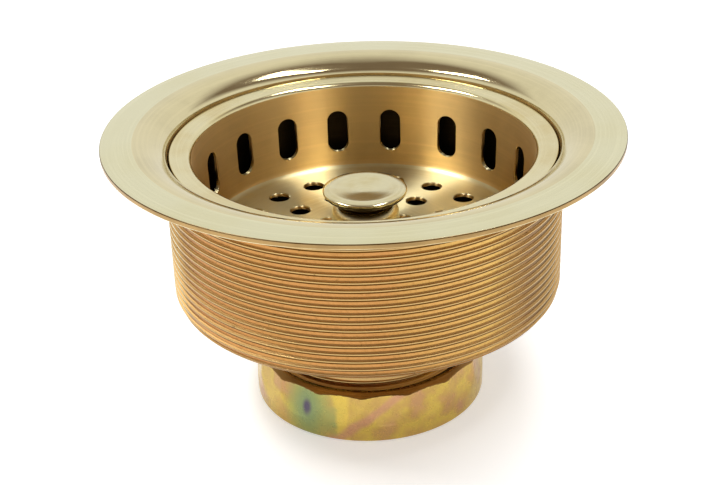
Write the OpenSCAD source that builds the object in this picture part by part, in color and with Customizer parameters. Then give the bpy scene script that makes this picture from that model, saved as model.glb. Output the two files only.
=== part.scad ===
// Kitchen sink drain: a brass basket strainer with its coupling nut.
// The strainer body drops through the sink's hole and hangs by its flange. A lift-out basket
// hangs on a stem that carries the rubber stopper, and two sprung balls in the stem snap
// through the hub in the outlet. The coupling nut would hold the drain pipe's tailpiece.
// Millimetres. +Z is up, and the origin is the middle of the nut's foot, where the drain stands.
// Depths are measured down from the flange's top face.

/* [Flange and neck] */
// Outer diameter of the flange
flange_d = 114.3; // [104:0.1:126]
// Thickness of the flange at its rim
flange_t = 1.2; // [1:0.1:2.4]
// Rounding of the flange's outer edge
flange_edge_r = 0.35; // [0.1:0.05:0.45]
// Width of the mouth's roll, from the flat ring to the tight bend
mouth_w = 6.24; // [4:0.01:7]
// How far the plain neck stands out beyond the thread, to fill the sink's hole
neck_step = 0.25; // [0.1:0.05:0.5]
// Depth of the neck's lower end
neck_end = 5.6; // [5:0.1:6.2]
// Wall of the neck
neck_wall = 1; // [0.9:0.05:1.2]
// Angle that the mouth has rolled down to where the steep wall starts
mouth_angle = 38; // [25:1:50]
// Radius of the tight bend between the mouth and the steep wall
mouth_bend_r = 2.2; // [1.5:0.1:3]

/* [Threaded cup] */
// Diameter over the thread's crests
cup_d = 87.9; // [84:0.1:88]
// Wall from the crests to the inside
cup_wall = 1.9; // [1.6:0.1:2.4]
// Gap between the neck and the thread's first turn
thread_gap = 1; // [0.5:0.1:3]
// Rise of the thread per turn
thread_pitch = 1.814; // [1.5:0.001:3]
// Depth of the thread
thread_depth = 0.65; // [0.3:0.05:0.9]
// Depth where the cup's lower corner starts to round
corner_start = 36.9; // [30:0.1:44]
// Radius of the cup's lower corner
corner_r = 5; // [4:0.5:8]
// Slope of the dished bottom
dish_angle = 18; // [10:1:25]

/* [Outlet] */
// Outer diameter of the tailpiece that the nut holds, and bore of the outlet
tailpiece_d = 38.1; // [32:0.1:46]
// Wall of the outlet from its bore to the thread's crests
outlet_wall = 4.45; // [3:0.05:6]
// Width of the flat seat that the stopper closes on
seat_w = 3.85; // [2.5:0.05:5]
// Length of the outlet below the seat
outlet_l = 15.03; // [14:0.01:20]
// Rise of the outlet's thread per turn
outlet_pitch = 2.209; // [1.5:0.001:3]
// Depth of the outlet's thread
outlet_thread_depth = 0.8; // [0.4:0.05:1]
// Drop from the seat to the cross web's upper face
web_drop = 5.2; // [5:0.1:7]
// Height of the cross web
web_h = 3.4; // [2.5:0.1:4]
// Width of each bar of the cross web
web_bar_w = 3; // [2:0.1:5]
// Wall of the hub in the middle of the web
hub_wall = 2.9; // [2:0.1:4]

/* [Coupling nut] */
// Wall of the nut from its bore to the plain band
nut_wall = 3.1; // [2.8:0.1:5]
// Height of the nut
nut_h = 12; // [11:0.1:14]
// Height of the plain band at the nut's foot
nut_band_h = 4.2; // [3:0.1:5]
// Thickness of the lip under the washer
nut_lip_t = 2.6; // [2:0.1:3]
// Turn of the first wide flat from +X
nut_turn = 6.9; // [0:0.1:45]
// Number of wide flats, with as many narrow ones between them
nut_flats = 8; // [6:1:10]
// Share of each period that a wide flat takes
nut_wide_share = 0.7; // [0.5:0.05:0.8]
// Share of a flat's depth that has run out at its foot
nut_flat_runout = 0.35; // [0:0.05:0.6]
// Lean of the flats
nut_flat_lean = 4; // [0:0.5:6]
// Slope of the turned chamfer at the nut's top
nut_chamfer_angle = 38; // [20:1:50]
// Thickness of the washer
washer_t = 2; // [1.2:0.1:2.6]

/* [Basket] */
// Depth of the basket rim's top face
basket_rim_depth = 3.8; // [3.6:0.1:4.6]
// Width of the basket's rim, from its edge to the top of the wall
basket_rim_w = 4.8; // [3:0.1:7]
// How much the basket's wall leans in from the rim to the floor
basket_taper = 0.6; // [0.4:0.1:4]
// Depth of the basket's floor near the wall
basket_depth = 26; // [22:0.1:29]
// How much the floor rises to its middle
floor_crown = 0.5; // [0:0.1:1]
// Thickness of the basket's sheet
sheet_t = 0.8; // [0.7:0.1:1.2]
// Radius where the rim turns down into the wall
lip_r = 1.3; // [1:0.1:3]
// Radius between the wall and the floor
basket_corner_r = 1.8; // [1.2:0.1:3]
// Number of slots round the wall
slot_count = 18; // [8:1:20]
// How many degrees wider the last gap between slots is than the others
slot_gap_extra = 2.7; // [0:0.1:6]
// Width of a slot
slot_w = 5; // [3:0.1:6]
// Drop from the basket's rim to the slots' upper ends
slot_drop = 7.3; // [4:0.1:9]
// Height of the slots' lower ends over the basket's floor
slot_rise = 4.4; // [4:0.1:9]
// Turn of the first slot from +X
slot_turn = 79.7; // [0:0.1:90]
// Diameter of a drain hole in the floor
hole_d = 4.6; // [2.5:0.1:5]
// Land between the outer ring of holes and the corner of the floor
hole_land = 4.55; // [1:0.05:8]
// Number of rings, where each ring holds six more holes than the one inside it
hole_rings = 3; // [1:1:3]
// Turn of each ring of holes from +X, inner ring first
hole_turns = [30, 21.6, 15.6]; // [0:0.1:60]

/* [Knob] */
// Diameter of the knob's cap
knob_d = 19; // [14:0.1:20]
// Height of the knob
knob_h = 10.7; // [8:0.1:14]
// Thickness of the cap
cap_t = 2.3; // [1.8:0.1:3]
// Wall of the waist under the cap, round the stem's tip
waist_wall = 2.7; // [2:0.1:4]
// Diameter of the knob's foot
knob_foot_d = 15.6; // [13.5:0.1:16]

/* [Stem and stopper] */
// Diameter of the stem's post
post_d = 9; // [8:0.1:10]
// Step from the post to the shoulder that the basket turns on
shoulder_step = 0.5; // [0.5:0.1:1.2]
// Diameter of the threaded end in the knob
tip_d = 5; // [4:0.1:6]
// Length of the post below the hub
post_reach = 5.4; // [4:0.1:5.8]
// How far each collar stands out from the post
collar_w = 2.3; // [1.5:0.1:3]
// Thickness of each collar
collar_t = 1.6; // [1.2:0.1:2.2]
// Thickness of the rubber seal
seal_t = 3.2; // [2.4:0.1:4]
// How far the seal stays inside the edge of its seat
seal_inset = 0.5; // [0.2:0.1:1]
// Thickness of the plates over and under the seal
plate_t = 1; // [0.8:0.1:1.4]
// Height of the nut on the stem
stem_nut_h = 2.2; // [1.6:0.1:2.6]
// Wall of the nut on the stem at its flats
stem_nut_wall = 2; // [1.5:0.1:3]

/* [Ball catch] */
// Diameter of each ball
ball_d = 3.175; // [2.5:0.001:3.3]
// How far each ball stands out of the post
ball_out = 0.7; // [0.4:0.05:0.9]
// Diameter of the spring's wire
spring_wire = 0.35; // [0.25:0.01:0.4]
// Number of turns of the spring
spring_turns = 5; // [4:1:6]

/* [Fits] */
// Gap at each side of the tailpiece in the nut's lip
tailpiece_fit = 0.45; // [0.2:0.05:0.8]
// How far the washer's hole stands back from the nut's
washer_fit = 0.7; // [0.4:0.1:1.2]
// Gap between the basket's rim and the mouth's wall
rim_fit = 0.27; // [0.15:0.01:0.5]
// Gap between the knob's foot and the inner ring of holes
hub_hole_gap = 0.05; // [0:0.05:2]
// Gap at each side of a part that turns or slides in a hole
run_fit = 0.06; // [0.02:0.01:0.1]
// Gap between the nut's bore and the outlet's crests
thread_fit = 0.09; // [0.02:0.01:0.1]
// End play of the basket on its shoulder
end_play = 0.1; // [0.05:0.05:0.3]
// Length of bevels on small edges
bevel = 0.3; // [0.1:0.1:0.5]

/* [Hidden] */
$fn = 96;
BRASS = [0.86, 0.76, 0.5];
ZINC = [0.72, 0.62, 0.32];
flange_r = flange_d / 2;
cup_r = cup_d / 2;
neck_r = cup_r + neck_step;
thread_start = neck_end + thread_gap;
cup_in_r = cup_r - cup_wall;
corner_in_r = corner_r - cup_wall;
corner_x = cup_r - corner_r;
outlet_bore_r = tailpiece_d / 2;
outlet_r = outlet_bore_r + outlet_wall;

// The mouth rolls from the flat ring to the steep wall inside the neck.
mouth_wall_r = neck_r - neck_wall;
mouth_slope = 80;
mouth_bend_x = mouth_wall_r + mouth_bend_r * sin(mouth_slope);
mouth_end_r = mouth_bend_x - mouth_bend_r * sin(mouth_angle);
mouth_start_r = mouth_end_r + mouth_w;
mouth_r = mouth_w / sin(mouth_angle);
mouth_end = mouth_r * (1 - cos(mouth_angle));
mouth_bend_depth = mouth_end + mouth_bend_r * cos(mouth_angle);
mouth_wall_depth = mouth_bend_depth - mouth_bend_r * cos(mouth_slope);
mouth_foot = thread_start + cup_wall;
function mouth_in(d) = cup_in_r
    + (mouth_wall_r - cup_in_r) * (mouth_foot - d) / (mouth_foot - mouth_wall_depth);

// The dish runs from the rounded corner to the outlet, inside and outside.
dish_rise = tan(dish_angle);
dish_start_r = corner_x + corner_r * sin(dish_angle);
dish_start = corner_start + corner_r * cos(dish_angle);
seat_r = outlet_bore_r + seat_w;
function dish_out(r) = dish_start + (dish_start_r - r) * dish_rise;
function dish_in(r) = dish_out(r) - cup_wall / cos(dish_angle);
seat_depth = dish_in(seat_r);
outlet_start = dish_out(outlet_r);
outlet_end = seat_depth + outlet_l;
web_top = seat_depth + web_drop;
web_end = web_top + web_h;

nut_end = outlet_end + washer_t + nut_lip_t;
nut_top = nut_end - nut_h;
nut_bore_r = outlet_r + thread_fit;
nut_r = nut_bore_r + nut_wall;
nut_hole_r = tailpiece_d / 2 + tailpiece_fit;
nut_period = 360 / nut_flats;
nut_face_w = 2 * nut_r;

basket_rim_r = mouth_in(basket_rim_depth + sheet_t) - rim_fit;
basket_mouth_r = basket_rim_r - basket_rim_w;
basket_base_r = basket_mouth_r - basket_taper;
wall_lean = atan(basket_taper / (basket_depth - basket_rim_depth - lip_r));
slot_top = basket_rim_depth + slot_drop;
slot_l = basket_depth - slot_rise - slot_top;
slot_step = (360 - slot_gap_extra) / slot_count;

// The basket's floor rests on the collar. Its middle is flat under the knob and on the collar.
post_r = post_d / 2;
collar_r = post_r + collar_w;
hub_flat_r = max(knob_foot_d / 2, collar_r);
inner_ring_r = hub_flat_r + hub_hole_gap + hole_d / 2;
outer_ring_r = basket_base_r - basket_corner_r - hole_land - hole_d / 2;
hole_ring_step = (outer_ring_r - inner_ring_r) / max(1, hole_rings - 1);
floor_mid = basket_depth - floor_crown;
shoulder_r = post_r - shoulder_step;
shoulder_l = sheet_t + end_play;
collar_top = floor_mid + sheet_t;
knob_base = collar_top - shoulder_l;
knob_depth = knob_base - knob_h;
tip_top = knob_depth + cap_t + 1;
tip_r = tip_d / 2;
post_end = web_end + post_reach;
stack_top = seat_depth - seal_t - plate_t;
stack_end = seat_depth + plate_t;
seal_r = seat_r - seal_inset;
lower_plate_r = outlet_bore_r - 2;
upper_plate_r = seal_r - 4;
plate_hole_r = post_r + run_fit;
hub_r = plate_hole_r + hub_wall;
stem_nut_r = post_r + stem_nut_wall;

ball_r = ball_d / 2;
ball_x = post_r + ball_out - ball_r;
ball_hole_r = ball_r + run_fit / 2;
ball_gap = 0.12;
ball_depth = web_end + sqrt(pow(ball_r, 2) - pow(plate_hole_r - ball_x, 2)) + ball_gap;
spring_r = ball_r - spring_wire / 2 - 0.25;
spring_gap = 0.02;
spring_seat = sqrt(pow(ball_r + spring_wire / 2 + spring_gap, 2) - pow(spring_r, 2));
spring_l = 2 * (ball_x - spring_seat);

// Points of an arc about (x, depth), as [radius, height] with the flange's top at 0.
function arc(x, depth, r, from, to, steps = 8) = [
    for (i = [0:steps])
        let (a = from + (to - from) * i / steps)
            [x + r * cos(a), -depth + r * sin(a)]
];
// Points of a cut thread between two depths, where env gives the crest's radius at a depth.
function rings(start, pitch, turns, depth, env) = [
    for (i = [0:turns - 1], p = [[0.3, 1], [0.5, 0], [0.7, 0], [0.9, 1]])
        let (d = start + (i + p[0]) * pitch)
            [env(d) - depth * p[1], -d]
];
// The cup's outline at a depth: straight, then round the lower corner.
cup_env = function (d)
    d < corner_start ? cup_r : corner_x + sqrt(pow(corner_r, 2) - pow(d - corner_start, 2));
outlet_env = function (d) outlet_r;
cup_turns = floor((corner_start + corner_r * 0.66 - thread_start) / thread_pitch);
outlet_thread_start = outlet_start + 1.6;
outlet_turns = floor((outlet_end - 0.2 - outlet_thread_start) / outlet_pitch);

// Puts depths on the frame: the nut's foot is at 0.
module from_top() {
    translate([0, 0, nut_end]) children();
}

module disc(r, top, bottom, hole_r = 0) {
    translate([0, 0, -bottom]) difference() {
        cylinder(h = bottom - top, r = r);
        if (hole_r > 0)
            translate([0, 0, -1]) cylinder(h = bottom - top + 2, r = hole_r);
    }
}

function reverse(list) = [for (i = [len(list) - 1:-1:0]) list[i]];

// The turned body: flange, mouth, neck, threaded cup, dished bottom and outlet.
module body_outline() {
    inside = concat(
        arc(flange_r - flange_edge_r, flange_edge_r, flange_edge_r, 0, 90, 3),
        arc(mouth_start_r, mouth_r, mouth_r, 90, 90 + mouth_angle, 8),
        arc(mouth_bend_x, mouth_bend_depth, mouth_bend_r, 90 + mouth_angle + 6, 90 + mouth_slope, 5),
        [[cup_in_r, -mouth_foot]],
        arc(corner_x, corner_start, corner_in_r, 0, dish_angle - 90, 6),
        [[seat_r, -seat_depth], [outlet_bore_r, -seat_depth], [outlet_bore_r, -outlet_end]]
    );
    outside = concat(
        arc(flange_r - flange_edge_r, flange_t - flange_edge_r, flange_edge_r, 0, -90, 3),
        arc(mouth_start_r, mouth_r, mouth_r - flange_t, 90, 84 + mouth_angle, 6),
        arc(mouth_bend_x, mouth_bend_depth, mouth_bend_x - neck_r, 90 + mouth_angle, 180, 4),
        [[neck_r, -neck_end], [cup_r - thread_depth, -thread_start]],
        rings(thread_start, thread_pitch, cup_turns, thread_depth, cup_env),
        arc(corner_x, corner_start, corner_r, -42, dish_angle - 90, 4),
        [[outlet_r, -outlet_start]],
        rings(outlet_thread_start, outlet_pitch, outlet_turns, outlet_thread_depth, outlet_env),
        [[outlet_r - outlet_thread_depth, -outlet_end]]
    );
    polygon(concat(inside, reverse(outside)));
}

module strainer_body() {
    color(BRASS) from_top() {
        rotate_extrude() body_outline();
        disc(hub_r, web_top, web_end, plate_hole_r);
        difference() {
            for (turn = [0:90:270])
                rotate(turn + 45)
                    translate([hub_r - 1, -web_bar_w / 2, -web_end])
                        cube([outlet_bore_r - hub_r + 1.6, web_bar_w, web_h]);
            disc(hub_r - 0.5, web_top - 1, web_end + 1);
        }
    }
}

// The nut is a turned ring with leaning flats cut round it above the band.
module nut_outline() {
    chamfer_h = 1.6 * tan(nut_chamfer_angle);
    polygon(concat(
        [
            [nut_bore_r, -nut_top - 0.6], [nut_bore_r + 0.6, -nut_top], [nut_r - 1.9, -nut_top],
            [nut_r - 1.6, -nut_top - 0.2], [nut_r, -nut_top - 0.2 - chamfer_h]
        ],
        arc(nut_r - 1.8, nut_end - 1.8, 1.8, 0, -90, 6),
        [
            [nut_hole_r + bevel, -nut_end], [nut_hole_r, -nut_end + bevel],
            [nut_hole_r, -nut_end + nut_lip_t], [nut_bore_r, -nut_end + nut_lip_t]
        ]
    ));
}

module nut_flat(turn, half_angle) {
    prism_r = nut_r * cos(half_angle);
    foot_r = prism_r + nut_flat_runout * (nut_r - prism_r);
    rotate(turn)
        translate([foot_r, -nut_face_w / 2, -nut_end + nut_band_h])
            rotate([0, -nut_flat_lean, 0])
                cube([nut_r, nut_face_w, nut_h]);
}

module coupling_nut() {
    color(ZINC) from_top() difference() {
        rotate_extrude() nut_outline();
        for (i = [0:nut_flats - 1]) {
            nut_flat(nut_turn + i * nut_period, nut_period * nut_wide_share / 2);
            nut_flat(nut_turn + (i + 0.5) * nut_period, nut_period * (1 - nut_wide_share) / 2);
        }
    }
}

module tailpiece_washer() {
    color("ivory") from_top()
        disc(outlet_r - 0.4, outlet_end, outlet_end + washer_t, nut_hole_r + washer_fit);
}

// One sheet, pressed: a flat rim, a leaning wall and a crowned floor.
module basket_outline() {
    lip_x = basket_mouth_r + lip_r;
    floor_x = basket_base_r - basket_corner_r;
    edge_r = sheet_t / 3;
    polygon(concat(
        [[basket_rim_r, -basket_rim_depth - sheet_t]],
        arc(basket_rim_r - edge_r, basket_rim_depth + edge_r, edge_r, 0, 90, 3),
        arc(lip_x, basket_rim_depth + lip_r, lip_r, 90, 180 - wall_lean, 6),
        arc(floor_x, basket_depth - basket_corner_r, basket_corner_r, -wall_lean, -90, 5),
        [[hub_flat_r, -floor_mid], [0, -floor_mid], [0, -collar_top], [hub_flat_r, -collar_top]],
        arc(floor_x, basket_depth - basket_corner_r, basket_corner_r + sheet_t, -90, -wall_lean, 5),
        arc(lip_x, basket_rim_depth + lip_r, lip_r - sheet_t, 180 - wall_lean, 90, 5)
    ));
}

module slot() {
    middle_depth = slot_top + slot_l / 2;
    reach = basket_rim_r - basket_base_r + 6;
    translate([basket_base_r - 4, 0, -middle_depth]) rotate([0, 90, 0]) {
        for (side = [-1, 1])
            translate([side * (slot_l - slot_w) / 2, 0, 0]) cylinder(h = reach, d = slot_w, $fn = 48);
        translate([-(slot_l - slot_w) / 2, -slot_w / 2, 0]) cube([slot_l - slot_w, slot_w, reach]);
    }
}

module basket_cup() {
    color(BRASS) from_top() difference() {
        rotate_extrude() basket_outline();
        translate([0, 0, -collar_top - 1]) cylinder(h = sheet_t + 3, r = shoulder_r + run_fit);
        for (i = [0:slot_count - 1])
            rotate(slot_turn + i * slot_step) slot();
        for (ring = [1:hole_rings], i = [0:6 * ring - 1])
            rotate(hole_turns[ring - 1] + i * 60 / ring)
                translate([inner_ring_r + (ring - 1) * hole_ring_step, 0, -basket_depth - sheet_t - 1])
                    cylinder(h = sheet_t + floor_crown + 2, d = hole_d, $fn = 32);
    }
}

module knob_outline() {
    cap_r = knob_d / 2;
    foot_r = knob_foot_d / 2;
    waist_r = tip_r + waist_wall;
    edge_r = cap_t * 0.42;
    crown = 0.45;
    waist_depth = knob_depth + cap_t + 0.9;
    bell_r = 2.2;
    polygon(concat(
        [[0, -knob_base], [foot_r - bevel, -knob_base], [foot_r, -knob_base + bevel]],
        arc(foot_r - 0.2 - bell_r, waist_depth + 0.7 + bell_r, bell_r, 5, 80, 6),
        [[waist_r, -waist_depth - 0.5], [waist_r, -waist_depth]],
        [[waist_r + 1.2, -knob_depth - cap_t - 0.15]],
        arc(cap_r - edge_r, knob_depth + crown + edge_r, edge_r, -75, 80, 7),
        [for (i = [5:-1:0]) [cap_r * 0.9 * i / 6, -knob_depth - crown * pow(i / 6, 2) * 0.9]]
    ));
}

module basket_knob() {
    color(BRASS) from_top() difference() {
        rotate_extrude() knob_outline();
        translate([0, 0, -knob_base - 1]) cylinder(h = knob_base - tip_top + 1, r = tip_r);
    }
}

// The stem: threaded tip, shoulder, two collars and the post with its cross hole.
module stopper_stem() {
    color(BRASS) from_top() difference() {
        union() {
            disc(tip_r, tip_top, knob_base);
            disc(shoulder_r, knob_base, collar_top);
            disc(collar_r, collar_top, collar_top + collar_t);
            disc(post_r, collar_top, post_end - bevel * 2);
            disc(collar_r, stack_top - collar_t, stack_top);
            translate([0, 0, -post_end])
                cylinder(h = bevel * 2, r1 = post_r - bevel * 2, r2 = post_r);
        }
        translate([-post_r - 1, 0, -ball_depth]) rotate([0, 90, 0])
            cylinder(h = 2 * post_r + 2, r = ball_hole_r);
    }
}

module stopper_seal() {
    edge = seal_t * 0.3;
    color([0.13, 0.12, 0.12]) from_top() difference() {
        rotate_extrude() polygon(concat(
            [[0, -seat_depth]],
            arc(seal_r - edge, seat_depth - edge, edge, -90, 0, 4),
            arc(seal_r - edge * 2, seat_depth - seal_t + edge * 2, edge * 2, 0, 90, 5),
            [[0, -seat_depth + seal_t]]
        ));
        disc(plate_hole_r, seat_depth - seal_t - 1, seat_depth + 1);
    }
}

module seal_upper_plate() {
    color(BRASS) from_top() disc(upper_plate_r, stack_top, stack_top + plate_t, plate_hole_r);
}

module seal_lower_plate() {
    color(BRASS) from_top() disc(lower_plate_r, seat_depth, stack_end, plate_hole_r);
}

module stem_nut() {
    color(BRASS) from_top() difference() {
        translate([0, 0, -stack_end - stem_nut_h]) intersection() {
            cylinder(h = stem_nut_h, r = stem_nut_r / cos(30), $fn = 6);
            cylinder(h = stem_nut_h, r1 = stem_nut_r, r2 = stem_nut_r + stem_nut_h);
        }
        disc(post_r, stack_end - 1, stack_end + stem_nut_h + 1);
    }
}

module detent_ball(side) {
    color("silver") from_top() translate([side * ball_x, 0, -ball_depth]) sphere(r = ball_r);
}

// The spring between the balls: one ring per turn, joined by short slanted links.
module detent_spring() {
    turn_step = spring_l / spring_turns;
    color("gray") from_top() translate([-spring_l / 2, 0, -ball_depth]) rotate([0, 90, 0]) {
        for (i = [0:spring_turns])
            translate([0, 0, i * turn_step])
                rotate_extrude($fn = 32)
                    translate([spring_r, 0]) circle(d = spring_wire, $fn = 16);
        for (i = [0:spring_turns - 1])
            rotate(i * 180)
                translate([spring_r, 0, i * turn_step]) cylinder(h = turn_step, d = spring_wire, $fn = 16);
    }
}

strainer_body();
coupling_nut();
tailpiece_washer();
basket_cup();
basket_knob();
stopper_stem();
stopper_seal();
seal_upper_plate();
seal_lower_plate();
stem_nut();
detent_ball(-1);  // detent_ball_left
detent_ball(1);  // detent_ball_right
detent_spring();
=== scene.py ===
"""A brass basket strainer for a kitchen sink, with its plated coupling nut."""

import math

import bmesh
import bpy
from bpy.props import FloatProperty, FloatVectorProperty, IntProperty, PointerProperty
from mathutils import Matrix, Vector


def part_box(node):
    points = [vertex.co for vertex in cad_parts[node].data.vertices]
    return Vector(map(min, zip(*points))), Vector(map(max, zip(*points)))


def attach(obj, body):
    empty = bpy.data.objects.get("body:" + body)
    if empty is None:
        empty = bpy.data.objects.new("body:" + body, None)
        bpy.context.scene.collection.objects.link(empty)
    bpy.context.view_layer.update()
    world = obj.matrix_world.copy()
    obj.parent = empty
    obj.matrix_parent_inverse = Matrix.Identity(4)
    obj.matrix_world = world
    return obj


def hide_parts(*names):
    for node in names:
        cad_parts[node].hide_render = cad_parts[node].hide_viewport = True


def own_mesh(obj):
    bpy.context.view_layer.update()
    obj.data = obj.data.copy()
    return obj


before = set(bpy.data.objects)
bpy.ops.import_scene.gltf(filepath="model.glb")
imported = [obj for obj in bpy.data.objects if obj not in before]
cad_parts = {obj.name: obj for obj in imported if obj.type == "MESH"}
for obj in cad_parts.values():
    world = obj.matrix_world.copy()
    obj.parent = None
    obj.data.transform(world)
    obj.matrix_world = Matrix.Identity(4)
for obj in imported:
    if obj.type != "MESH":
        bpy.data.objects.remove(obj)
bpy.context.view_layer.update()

bl_info = {
    "name": "Kitchen Sink Drain",
    "version": (1, 0, 0),
    "blender": (4, 5, 0),
    "location": "View3D > Sidebar > Sink Drain",
    "description": "Builds a brass basket strainer with its coupling nut",
    "category": "Add Mesh",
}

MM = 0.001
TAU = 2 * math.pi
FACETS = 160
NUT_FACETS = 320
MERGE = 0.004 * MM
FILL = 0.42
ROOM = (0.24, 0.185, 0.15, 1)
BACKDROP = (50, 86)
SIDE_WALL = (22, 47)
FRONT_WALL = (6, 34)
BODY_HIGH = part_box("strainer_body")[1]
NUT_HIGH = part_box("coupling_nut")[1]
RIM_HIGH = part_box("basket_cup")[1]
KNOB_LOW, KNOB_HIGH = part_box("basket_knob")
OUTLET_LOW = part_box("strainer_body")[0]
TOP = BODY_HIGH.z


def length(name, description, millimetres):
    """A size that shows in the sidebar, given in millimetres."""
    return FloatProperty(
        name=name, description=description, default=millimetres * MM, min=0, unit="LENGTH", precision=5
    )


def angle(name, description, degrees):
    """An angle that shows in the sidebar, given in degrees."""
    return FloatProperty(
        name=name, description=description, default=math.radians(degrees), subtype="ANGLE", unit="ROTATION"
    )


def colour(name, description, value):
    """A colour that shows in the sidebar."""
    return FloatVectorProperty(
        name=name, description=description, default=value, min=0, max=1, size=3, subtype="COLOR"
    )


def share(name, description, value):
    """A factor from 0 to 1 that shows in the sidebar."""
    return FloatProperty(name=name, description=description, default=value, min=0, max=1, subtype="FACTOR")


class BodySizes(bpy.types.PropertyGroup):
    """Sizes of the strainer body."""

    flange_r: length("Flange radius", "Outer radius of the flange", BODY_HIGH.x / MM)
    flange_t: length("Flange thickness", "Thickness of the flange at its rim", 1.2)
    flange_edge: length("Flange edge", "Rounding of the flange's outer edge", 0.22)
    mouth_w: length("Mouth width", "Width of the mouth's roll from the flat ring to the bend", 6.24)
    mouth_roll: angle("Mouth roll", "Angle that the mouth rolls down before the bend", 38)
    mouth_bend: length("Mouth bend", "Radius of the bend between the mouth and the steep wall", 2.2)
    mouth_slope: angle("Wall slope", "Slope of the steep wall under the bend", 80)
    neck_step: length("Neck step", "How far the neck stands out beyond the thread", 0.25)
    neck_end: length("Neck end", "Depth of the neck's lower end", 5.6)
    neck_wall: length("Neck wall", "Wall of the neck", 1)
    cup_r: length("Cup radius", "Radius over the thread's crests", 43.95)
    cup_wall: length("Cup wall", "Wall from the crests to the inside", 1.9)
    thread_gap: length("Thread gap", "Gap between the neck and the thread's first turn", 1.33)
    pitch: length("Thread pitch", "Rise of the thread per turn", 1.814)
    thread_depth: length("Thread depth", "Depth of the thread", 0.45)
    thread_turn: angle("Thread turn", "Place round the cup where the thread runs out", 146.25)
    turns: IntProperty(name="Turns", description="Turns of the thread on the cup", default=18, min=3)
    corner_start: length("Corner start", "Depth where the cup's lower corner starts to round", 35)
    corner_r: length("Corner radius", "Radius of the cup's lower corner", 4)
    dish: angle("Dish slope", "Slope of the dished bottom", 25.28)
    machined: length("Machined depth", "Depth down to which the cup's inside is machined", 17.6)
    bore_r: length("Outlet bore", "Radius of the outlet's bore", 19.05)
    outlet_r: length("Outlet radius", "Radius over the outlet's thread", 23.5)
    outlet_pitch: length("Outlet pitch", "Rise of the outlet's thread per turn", 2.209)
    outlet_depth: length("Outlet thread depth", "Depth of the outlet's thread", 0.8)
    outlet_turns: IntProperty(name="Outlet turns", description="Turns of the outlet's thread", default=5, min=3)
    seat_w: length("Seat width", "Width of the seat that the stopper closes on", 3.85)
    web_drop: length("Web drop", "Drop from the seat to the cross web", 5.2)
    web_h: length("Web height", "Height of the cross web", 3.4)
    bar_w: length("Bar width", "Width of each bar of the cross web", 3)
    hub_r: length("Hub radius", "Outer radius of the web's hub", 7.46)
    hub_bore: length("Hub bore", "Radius of the hole that the stem snaps into", 4.56)


class NutSizes(bpy.types.PropertyGroup):
    """Sizes of the coupling nut."""

    radius: length("Radius", "Radius of the plain band at the nut's foot", NUT_HIGH.x / MM)
    height: length("Height", "Height of the nut", NUT_HIGH.z / MM)
    band: length("Band", "Height of the plain band at the nut's foot", 4.2)
    lip: length("Lip", "Thickness of the lip under the washer", 2.6)
    hole_r: length("Hole", "Radius of the hole in the lip", 19.5)
    bore_r: length("Bore", "Radius inside the thread's crests", 23.59)
    foot_r: length("Foot rounding", "Rounding of the nut's lower edge", 0.8)
    turn: angle("Turn", "Turn of the first wide flat from +X", 6.9)
    flats: IntProperty(name="Wide flats", description="Wide flats, with as many narrow ones", default=8, min=4)
    wide: share("Wide share", "Share of each period that a wide flat takes", 0.7)
    runout: share("Run-out", "Share of a flat's depth that has run out at its foot", 0.95)
    lean: angle("Lean", "Lean of the flats", 8)
    chamfer: angle("Chamfer", "Slope of the turned chamfer at the top", 38)
    edge: length("Edge", "Softness of the edges between flats", 0.16)


class BasketSizes(bpy.types.PropertyGroup):
    """Sizes of the basket and its knob."""

    rim_r: length("Rim radius", "Outer radius of the basket's rim", RIM_HIGH.x / MM)
    rim_depth: length("Rim depth", "Depth of the rim under the flange", (TOP - RIM_HIGH.z) / MM)
    rim_w: length("Rim width", "Width of the rim to the top of the wall", 4.8)
    taper: length("Taper", "How much the wall leans in down to the floor", 0.6)
    depth: length("Depth", "Depth of the floor at the wall", 26)
    crown: length("Crown", "Rise of the floor to its middle", 0.5)
    sheet: length("Sheet", "Thickness of the basket's sheet", 0.8)
    lip_r: length("Lip radius", "Radius where the rim turns down", 1.3)
    rim_dish: length("Rim dish", "How much lower the rim's inner edge lies than its outer edge", 0.3)
    corner_r: length("Corner radius", "Radius between the wall and the floor", 1.8)
    slots: IntProperty(name="Slots", description="Slots round the wall", default=18, min=4)
    slot_gap: angle("Slot gap", "How much wider the last gap between slots is than the others", 2.7)
    slot_w: length("Slot width", "Width of a slot", 5)
    slot_drop: length("Slot drop", "Drop from the rim to the slots", 7.3)
    slot_rise: length("Slot rise", "Height of the slots over the floor", 4.4)
    slot_turn: angle("Slot turn", "Turn of the first slot from +X", 79.7)
    hole_r: length("Hole radius", "Radius of a drain hole", 2.3)
    inner_ring: length("Inner ring", "Radius of the inner ring of holes", 10.15)
    ring_step: length("Ring step", "Step between the rings of holes", 9.24)
    turn_a: angle("Inner ring turn", "Turn of the inner ring of holes", 30)
    turn_b: angle("Middle ring turn", "Turn of the middle ring of holes", 21.6)
    turn_c: angle("Outer ring turn", "Turn of the outer ring of holes", 15.6)
    slot_roll: length("Slot roll", "Rounding at the edge of a slot", 0.12)
    hole_roll: length("Hole roll", "Rounding at the edge of a hole", 0.42)
    shoulder_r: length("Shoulder hole", "Radius of the hole on the stem's shoulder", 4.06)
    flat_r: length("Flat middle", "Radius of the floor's flat middle", 7.8)
    knob_r: length("Knob radius", "Radius of the knob's cap", KNOB_HIGH.x / MM)
    cap_t: length("Cap thickness", "Thickness of the knob's cap", 2.3)
    crest_r: length("Cap crest", "Radius of the highest ring of the cap", 7.4)
    dish: angle("Cap dish", "Slope of the shallow dish in the cap", 9)
    edge_h: length("Cap edge", "Drop from the crest to the cap's widest ring", 0.55)
    waist_r: length("Waist radius", "Radius of the knob's waist", 4.9)
    foot_r: length("Foot radius", "Radius of the knob's foot", 7.8)
    tip_r: length("Tip hole", "Radius of the hole for the stem's tip", 2.5)


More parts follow.
